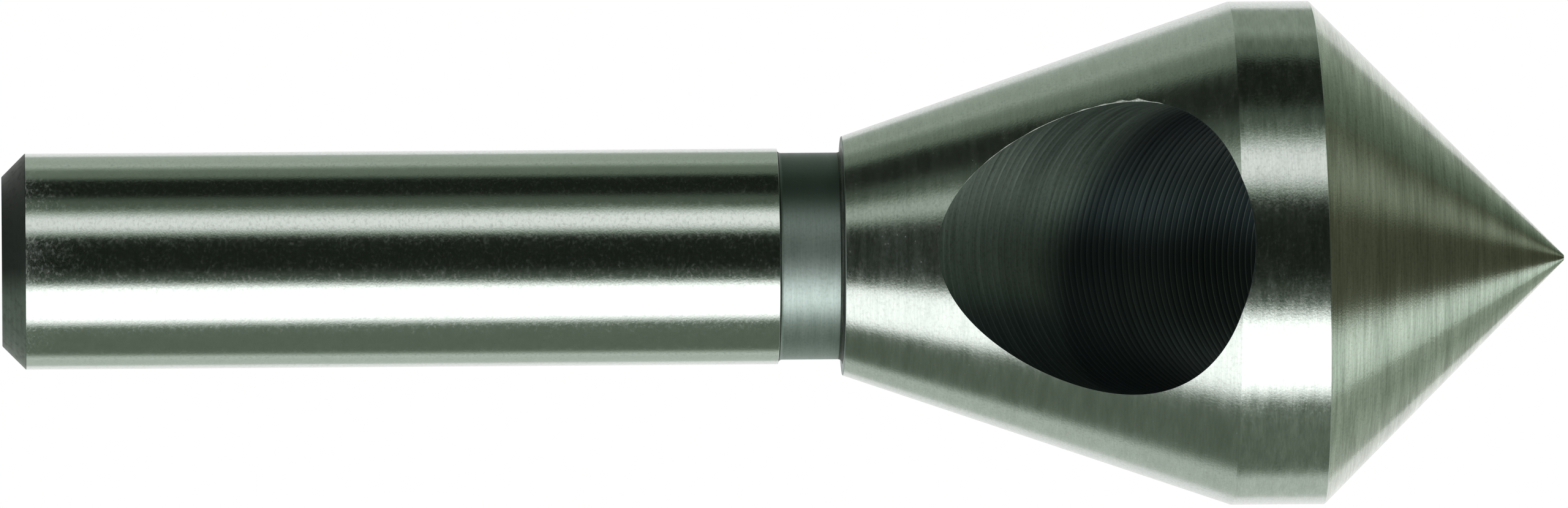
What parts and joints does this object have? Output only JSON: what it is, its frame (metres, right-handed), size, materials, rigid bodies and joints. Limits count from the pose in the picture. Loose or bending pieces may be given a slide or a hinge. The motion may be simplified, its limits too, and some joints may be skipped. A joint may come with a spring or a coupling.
{
  "type": "cross hole countersink",
  "caption": "Countersinking and deburring tool: plain round shank, tapered head, ninety degree cutting cone, and a slanted cross hole whose edge cuts.",
  "frame": {"origin": "centre of the shank's flat end face, which the tool stands on", "axes": "+Z along the tool's axis towards the cutting tip; the cross hole lies in the YZ plane, opening towards -Y on the back taper and towards +Y on the cutting cone"},
  "size_m": [0.028, 0.028, 0.087],
  "materials": {
    "ground_steel": "bare high-speed steel, ground all over: near-mirror shank, fine circumferential grinding marks on the head, bored feed rings in the cross hole"
  },
  "bodies": {
    "root": {"countersink_body": "ground_steel"}
  },
  "joints": []
}
